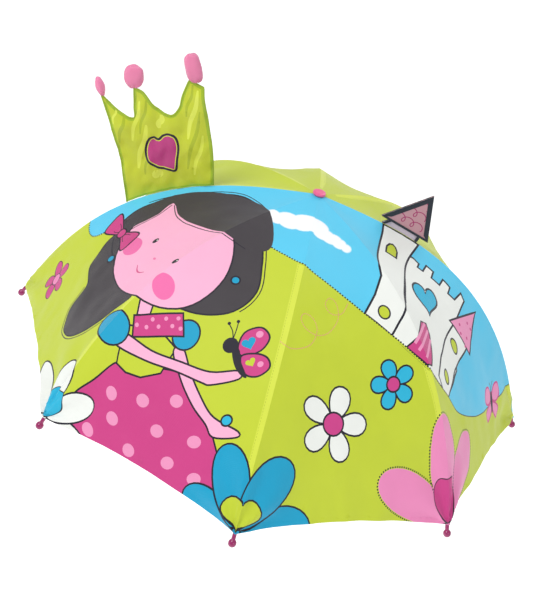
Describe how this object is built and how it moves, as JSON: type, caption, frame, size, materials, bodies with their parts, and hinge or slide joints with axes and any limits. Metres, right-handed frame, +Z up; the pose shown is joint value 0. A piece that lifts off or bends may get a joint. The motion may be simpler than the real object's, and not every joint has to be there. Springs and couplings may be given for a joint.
{
  "type": "children's umbrella",
  "caption": "Child's dome umbrella with a printed canopy, a stand-up soft crown and turret, sprung ribs on a sliding runner and a crook handle.",
  "frame": {"origin": "middle of the handle's straight grip, on the shaft's axis", "axes": "+Z up along the shaft towards the cap; -Y through the middle of the front gore; the crook curls towards +Y"},
  "size_m": [0.6766, 0.6766, 0.7362],
  "materials": {
    "steel": "bright zinc-plated steel, satin",
    "shaft_steel": "plated steel tube",
    "white_plastic": "moulded, slightly matte",
    "magenta_plastic": "moulded, glossy",
    "pink_plastic": "moulded, semi-gloss",
    "printed_canopy": "printed polyester taffeta, slight sheen",
    "lime_satin": "satin weave",
    "pink_satin": "satin, lightly padded",
    "grey_fabric": "plain weave with a dark edge",
    "mauve_fabric": "plain weave with a dark edge"
  },
  "bodies": {
    "shaft": {"shaft": "shaft_steel", "handle": "magenta_plastic", "handle_collar": "pink_plastic", "top_notch": "white_plastic", "notch_wire": "steel", "top_cap": "pink_plastic", "cap_washer": "lime_satin"},
    "runner": {"runner": "white_plastic", "runner_wire": "steel"},
    "rib_1": {"rib_1": "steel", "rib_tip_1": "magenta_plastic"},
    "rib_2": {"rib_2": "steel", "rib_tip_2": "magenta_plastic"},
    "rib_3": {"rib_3": "steel", "rib_tip_3": "magenta_plastic"},
    "rib_4": {"rib_4": "steel", "rib_tip_4": "magenta_plastic"},
    "rib_5": {"rib_5": "steel", "rib_tip_5": "magenta_plastic", "closing_strap": "printed_canopy"},
    "rib_6": {"rib_6": "steel", "rib_tip_6": "magenta_plastic"},
    "rib_7": {"rib_7": "steel", "rib_tip_7": "magenta_plastic"},
    "rib_8": {"rib_8": "steel", "rib_tip_8": "magenta_plastic"},
    "stretcher_1": {"stretcher_1": "steel"},
    "stretcher_2": {"stretcher_2": "steel"},
    "stretcher_3": {"stretcher_3": "steel"},
    "stretcher_4": {"stretcher_4": "steel"},
    "stretcher_5": {"stretcher_5": "steel"},
    "stretcher_6": {"stretcher_6": "steel"},
    "stretcher_7": {"stretcher_7": "steel"},
    "stretcher_8": {"stretcher_8": "steel"},
    "pleat_1_left": {"canopy_1_left": "printed_canopy"},
    "pleat_1_right": {"canopy_1_right": "printed_canopy"},
    "pleat_2_left": {"canopy_2_left": "printed_canopy"},
    "pleat_2_right": {"canopy_2_right": "printed_canopy"},
    "pleat_3_left": {"canopy_3_left": "printed_canopy"},
    "pleat_3_right": {"canopy_3_right": "printed_canopy"},
    "pleat_4_left": {"canopy_4_left": "printed_canopy"},
    "pleat_4_right": {"canopy_4_right": "printed_canopy"},
    "pleat_5_left": {"canopy_5_left": "printed_canopy"},
    "pleat_5_right": {"canopy_5_right": "printed_canopy"},
    "pleat_6_left": {"canopy_6_left": "printed_canopy"},
    "pleat_6_right": {"canopy_6_right": "printed_canopy"},
    "pleat_7_left": {"canopy_7_left": "printed_canopy"},
    "pleat_7_right": {"canopy_7_right": "printed_canopy"},
    "pleat_8_left": {"canopy_8_left": "printed_canopy"},
    "pleat_8_right": {"canopy_8_right": "printed_canopy"},
    "crown": {"crown": "lime_satin", "crown_puff_1": "pink_satin", "crown_puff_2": "pink_satin", "crown_puff_3": "pink_satin"},
    "turret": {"turret_wall": "grey_fabric", "turret_roof": "mauve_fabric"},
    "top_catch": {"top_spring": "steel"},
    "bottom_catch": {"bottom_spring": "steel"}
  },
  "joints": [
    {"name": "runner_slide", "type": "slide", "parent": "shaft", "child": "runner", "axis": [0, 0, -1], "range_m": [0, 0.21753], "deforming": ["canopy_1_left", "canopy_1_right", "canopy_2_left", "canopy_2_right", "canopy_3_left", "canopy_3_right", "canopy_4_left", "canopy_4_right", "canopy_5_left", "canopy_5_right", "canopy_6_left", "canopy_6_right", "canopy_7_left", "canopy_7_right", "canopy_8_left", "canopy_8_right", "crown", "turret_wall", "turret_roof", "closing_strap"]},
    {"name": "rib_1_hinge", "type": "hinge", "parent": "shaft", "child": "rib_1", "pos_m": [0.00306, -0.00739, 0.52], "axis": [0.9239, 0.3827, 0], "range_deg": [0, 52.31]},
    {"name": "stretcher_1_rivet", "type": "hinge", "parent": "rib_1", "child": "stretcher_1", "pos_m": [0.0744, -0.17961, 0.46182], "axis": [0.9239, 0.3827, 0], "range_deg": [-93.43, 0]},
    {"name": "pleat_1_left_fold", "type": "hinge", "parent": "rib_1", "child": "pleat_1_left", "pos_m": [0.00306, -0.00739, 0.52], "axis": [-0.3056, 0.7378, 0.6018], "range_deg": [0, 64.52]},
    {"name": "pleat_1_right_fold", "type": "hinge", "parent": "rib_1", "child": "pleat_1_right", "pos_m": [0.00306, -0.00739, 0.52], "axis": [0.3056, -0.7378, -0.6018], "range_deg": [0, 64.52]},
    {"name": "rib_2_hinge", "type": "hinge", "parent": "shaft", "child": "rib_2", "pos_m": [0.00739, -0.00306, 0.52], "axis": [0.3827, 0.9239, 0], "range_deg": [0, 52.31]},
    {"name": "stretcher_2_rivet", "type": "hinge", "parent": "rib_2", "child": "stretcher_2", "pos_m": [0.17961, -0.0744, 0.46182], "axis": [0.3827, 0.9239, 0], "range_deg": [-93.43, 0]},
    {"name": "pleat_2_left_fold", "type": "hinge", "parent": "rib_2", "child": "pleat_2_left", "pos_m": [0.00739, -0.00306, 0.52], "axis": [-0.7378, 0.3056, 0.6018], "range_deg": [0, 64.52]},
    {"name": "pleat_2_right_fold", "type": "hinge", "parent": "rib_2", "child": "pleat_2_right", "pos_m": [0.00739, -0.00306, 0.52], "axis": [0.7378, -0.3056, -0.6018], "range_deg": [0, 64.52]},
    {"name": "rib_3_hinge", "type": "hinge", "parent": "shaft", "child": "rib_3", "pos_m": [0.00739, 0.00306, 0.52], "axis": [-0.3827, 0.9239, 0], "range_deg": [0, 52.31]},
    {"name": "stretcher_3_rivet", "type": "hinge", "parent": "rib_3", "child": "stretcher_3", "pos_m": [0.17961, 0.0744, 0.46182], "axis": [-0.3827, 0.9239, 0], "range_deg": [-93.43, 0]},
    {"name": "pleat_3_left_fold", "type": "hinge", "parent": "rib_3", "child": "pleat_3_left", "pos_m": [0.00739, 0.00306, 0.52], "axis": [-0.7378, -0.3056, 0.6018], "range_deg": [0, 64.52]},
    {"name": "pleat_3_right_fold", "type": "hinge", "parent": "rib_3", "child": "pleat_3_right", "pos_m": [0.00739, 0.00306, 0.52], "axis": [0.7378, 0.3056, -0.6018], "range_deg": [0, 64.52]},
    {"name": "rib_4_hinge", "type": "hinge", "parent": "shaft", "child": "rib_4", "pos_m": [0.00306, 0.00739, 0.52], "axis": [-0.9239, 0.3827, 0], "range_deg": [0, 52.31]},
    {"name": "stretcher_4_rivet", "type": "hinge", "parent": "rib_4", "child": "stretcher_4", "pos_m": [0.0744, 0.17961, 0.46182], "axis": [-0.9239, 0.3827, 0], "range_deg": [-93.43, 0]},
    {"name": "pleat_4_left_fold", "type": "hinge", "parent": "rib_4", "child": "pleat_4_left", "pos_m": [0.00306, 0.00739, 0.52], "axis": [-0.3056, -0.7378, 0.6018], "range_deg": [0, 64.52]},
    {"name": "pleat_4_right_fold", "type": "hinge", "parent": "rib_4", "child": "pleat_4_right", "pos_m": [0.00306, 0.00739, 0.52], "axis": [0.3056, 0.7378, -0.6018], "range_deg": [0, 64.52]},
    {"name": "rib_5_hinge", "type": "hinge", "parent": "shaft", "child": "rib_5", "pos_m": [-0.00306, 0.00739, 0.52], "axis": [-0.9239, -0.3827, 0], "range_deg": [0, 52.31]},
    {"name": "stretcher_5_rivet", "type": "hinge", "parent": "rib_5", "child": "stretcher_5", "pos_m": [-0.0744, 0.17961, 0.46182], "axis": [-0.9239, -0.3827, 0], "range_deg": [-93.43, 0]},
    {"name": "pleat_5_left_fold", "type": "hinge", "parent": "rib_5", "child": "pleat_5_left", "pos_m": [-0.00306, 0.00739, 0.52], "axis": [0.3056, -0.7378, 0.6018], "range_deg": [0, 64.52]},
    {"name": "pleat_5_right_fold", "type": "hinge", "parent": "rib_5", "child": "pleat_5_right", "pos_m": [-0.00306, 0.00739, 0.52], "axis": [-0.3056, 0.7378, -0.6018], "range_deg": [0, 64.52]},
    {"name": "rib_6_hinge", "type": "hinge", "parent": "shaft", "child": "rib_6", "pos_m": [-0.00739, 0.00306, 0.52], "axis": [-0.3827, -0.9239, 0], "range_deg": [0, 52.31]},
    {"name": "stretcher_6_rivet", "type": "hinge", "parent": "rib_6", "child": "stretcher_6", "pos_m": [-0.17961, 0.0744, 0.46182], "axis": [-0.3827, -0.9239, 0], "range_deg": [-93.43, 0]},
    {"name": "pleat_6_left_fold", "type": "hinge", "parent": "rib_6", "child": "pleat_6_left", "pos_m": [-0.00739, 0.00306, 0.52], "axis": [0.7378, -0.3056, 0.6018], "range_deg": [0, 64.52]},
    {"name": "pleat_6_right_fold", "type": "hinge", "parent": "rib_6", "child": "pleat_6_right", "pos_m": [-0.00739, 0.00306, 0.52], "axis": [-0.7378, 0.3056, -0.6018], "range_deg": [0, 64.52]},
    {"name": "rib_7_hinge", "type": "hinge", "parent": "shaft", "child": "rib_7", "pos_m": [-0.00739, -0.00306, 0.52], "axis": [0.3827, -0.9239, 0], "range_deg": [0, 52.31]},
    {"name": "stretcher_7_rivet", "type": "hinge", "parent": "rib_7", "child": "stretcher_7", "pos_m": [-0.17961, -0.0744, 0.46182], "axis": [0.3827, -0.9239, 0], "range_deg": [-93.43, 0]},
    {"name": "pleat_7_left_fold", "type": "hinge", "parent": "rib_7", "child": "pleat_7_left", "pos_m": [-0.00739, -0.00306, 0.52], "axis": [0.7378, 0.3056, 0.6018], "range_deg": [0, 64.52]},
    {"name": "pleat_7_right_fold", "type": "hinge", "parent": "rib_7", "child": "pleat_7_right", "pos_m": [-0.00739, -0.00306, 0.52], "axis": [-0.7378, -0.3056, -0.6018], "range_deg": [0, 64.52]},
    {"name": "rib_8_hinge", "type": "hinge", "parent": "shaft", "child": "rib_8", "pos_m": [-0.00306, -0.00739, 0.52], "axis": [0.9239, -0.3827, 0], "range_deg": [0, 52.31]},
    {"name": "stretcher_8_rivet", "type": "hinge", "parent": "rib_8", "child": "stretcher_8", "pos_m": [-0.0744, -0.17961, 0.46182], "axis": [0.9239, -0.3827, 0], "range_deg": [-93.43, 0]},
    {"name": "pleat_8_left_fold", "type": "hinge", "parent": "rib_8", "child": "pleat_8_left", "pos_m": [-0.00306, -0.00739, 0.52], "axis": [0.3056, 0.7378, 0.6018], "range_deg": [0, 64.52]},
    {"name": "pleat_8_right_fold", "type": "hinge", "parent": "rib_8", "child": "pleat_8_right", "pos_m": [-0.00306, -0.00739, 0.52], "axis": [-0.3056, -0.7378, -0.6018], "range_deg": [0, 64.52]},
    {"name": "crown_fold", "type": "hinge", "parent": "shaft", "child": "crown", "pos_m": [-0.00739, -0.00306, 0.52], "axis": [0.3827, -0.9239, 0], "range_deg": [0, 69.02]},
    {"name": "turret_fold", "type": "hinge", "parent": "shaft", "child": "turret", "pos_m": [0.00739, 0.00306, 0.52], "axis": [-0.3827, 0.9239, 0], "range_deg": [0, 75.02]},
    {"name": "top_catch_press", "type": "slide", "parent": "shaft", "child": "top_catch", "axis": [0, 1, 0], "range_m": [0, 0.0026], "stiffness_N_per_m": 400},
    {"name": "bottom_catch_press", "type": "slide", "parent": "shaft", "child": "bottom_catch", "axis": [0, 1, 0], "range_m": [0, 0.0026], "stiffness_N_per_m": 400}
  ],
  "couplings": [
    {"joint": "rib_1_hinge", "follows": "runner_slide", "rad_per_m": 4.1952},
    {"joint": "stretcher_1_rivet", "follows": "runner_slide", "rad_per_m": -7.4943},
    {"joint": "pleat_1_left_fold", "follows": "runner_slide", "rad_per_m": 5.1751},
    {"joint": "pleat_1_right_fold", "follows": "runner_slide", "rad_per_m": 5.1751},
    {"joint": "rib_2_hinge", "follows": "runner_slide", "rad_per_m": 4.1952},
    {"joint": "stretcher_2_rivet", "follows": "runner_slide", "rad_per_m": -7.4943},
    {"joint": "pleat_2_left_fold", "follows": "runner_slide", "rad_per_m": 5.1751},
    {"joint": "pleat_2_right_fold", "follows": "runner_slide", "rad_per_m": 5.1751},
    {"joint": "rib_3_hinge", "follows": "runner_slide", "rad_per_m": 4.1952},
    {"joint": "stretcher_3_rivet", "follows": "runner_slide", "rad_per_m": -7.4943},
    {"joint": "pleat_3_left_fold", "follows": "runner_slide", "rad_per_m": 5.1751},
    {"joint": "pleat_3_right_fold", "follows": "runner_slide", "rad_per_m": 5.1751},
    {"joint": "rib_4_hinge", "follows": "runner_slide", "rad_per_m": 4.1952},
    {"joint": "stretcher_4_rivet", "follows": "runner_slide", "rad_per_m": -7.4943},
    {"joint": "pleat_4_left_fold", "follows": "runner_slide", "rad_per_m": 5.1751},
    {"joint": "pleat_4_right_fold", "follows": "runner_slide", "rad_per_m": 5.1751},
    {"joint": "rib_5_hinge", "follows": "runner_slide", "rad_per_m": 4.1952},
    {"joint": "stretcher_5_rivet", "follows": "runner_slide", "rad_per_m": -7.4943},
    {"joint": "pleat_5_left_fold", "follows": "runner_slide", "rad_per_m": 5.1751},
    {"joint": "pleat_5_right_fold", "follows": "runner_slide", "rad_per_m": 5.1751},
    {"joint": "rib_6_hinge", "follows": "runner_slide", "rad_per_m": 4.1952},
    {"joint": "stretcher_6_rivet", "follows": "runner_slide", "rad_per_m": -7.4943},
    {"joint": "pleat_6_left_fold", "follows": "runner_slide", "rad_per_m": 5.1751},
    {"joint": "pleat_6_right_fold", "follows": "runner_slide", "rad_per_m": 5.1751},
    {"joint": "rib_7_hinge", "follows": "runner_slide", "rad_per_m": 4.1952},
    {"joint": "stretcher_7_rivet", "follows": "runner_slide", "rad_per_m": -7.4943},
    {"joint": "pleat_7_left_fold", "follows": "runner_slide", "rad_per_m": 5.1751},
    {"joint": "pleat_7_right_fold", "follows": "runner_slide", "rad_per_m": 5.1751},
    {"joint": "rib_8_hinge", "follows": "runner_slide", "rad_per_m": 4.1952},
    {"joint": "stretcher_8_rivet", "follows": "runner_slide", "rad_per_m": -7.4943},
    {"joint": "pleat_8_left_fold", "follows": "runner_slide", "rad_per_m": 5.1751},
    {"joint": "pleat_8_right_fold", "follows": "runner_slide", "rad_per_m": 5.1751},
    {"joint": "crown_fold", "follows": "runner_slide", "rad_per_m": 5.5361},
    {"joint": "turret_fold", "follows": "runner_slide", "rad_per_m": 6.0175}
  ]
}
